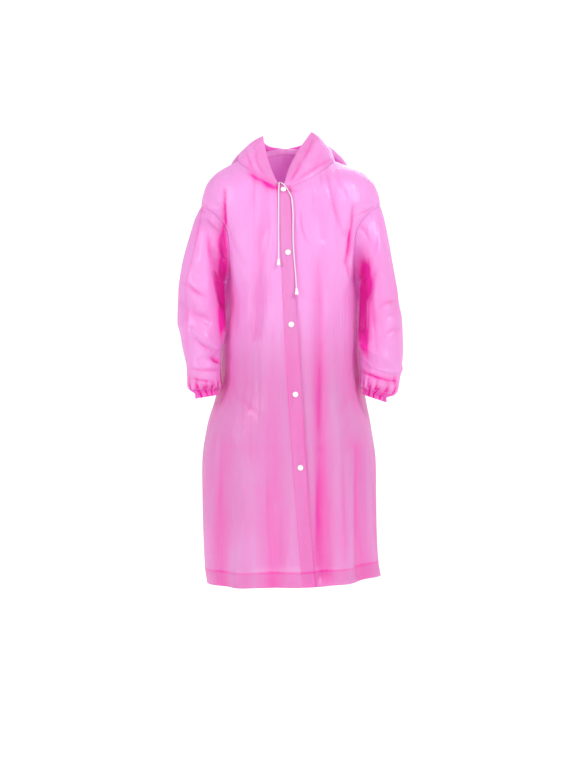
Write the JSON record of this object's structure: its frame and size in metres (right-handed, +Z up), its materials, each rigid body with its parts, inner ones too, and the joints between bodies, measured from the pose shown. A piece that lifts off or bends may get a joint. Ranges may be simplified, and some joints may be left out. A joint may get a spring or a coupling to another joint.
{
  "type": "hooded film raincoat",
  "caption": "Knee-length hooded raincoat of frosted film, snapped down the front, hanging as worn with its hood fallen back, drop-shoulder sleeves and gathered cuffs.",
  "frame": {"origin": "where the wearer's shoulders carry the coat, on the centre line and level with the base of the neck", "axes": "+Z up, the front faces -Y, the coat's left side is at +X"},
  "size_m": [0.5818, 0.3537, 1.1696],
  "materials": {
    "frosted_film": "frosted translucent pink film, soft satin sheen",
    "doubled_film": "the same film in two layers, deeper pink",
    "white_plastic": "moulded white plastic, smooth",
    "white_braid": "fine round braid, matt"
  },
  "bodies": {
    "root": {"front_right": "frosted_film", "front_left": "frosted_film", "back": "frosted_film", "sleeve_right": "frosted_film", "sleeve_left": "frosted_film", "hood_right": "frosted_film", "hood_left": "frosted_film", "cuff_right": "doubled_film", "cuff_left": "doubled_film", "placket_right": "doubled_film", "placket_left": "doubled_film", "hem_right": "doubled_film", "hem_left": "doubled_film", "hem_back": "doubled_film", "hood_casing_right": "doubled_film", "hood_casing_left": "doubled_film", "snap_cap_1": "white_plastic", "snap_cap_2": "white_plastic", "snap_cap_3": "white_plastic", "snap_cap_4": "white_plastic", "snap_cap_5": "white_plastic", "snap_socket_1": "white_plastic", "snap_socket_2": "white_plastic", "snap_socket_3": "white_plastic", "snap_socket_4": "white_plastic", "snap_socket_5": "white_plastic", "cord_end_right": "white_plastic", "cord_end_left": "white_plastic", "drawcord_casing": "white_braid", "drawcord_right": "white_braid", "drawcord_left": "white_braid"}
  },
  "joints": []
}
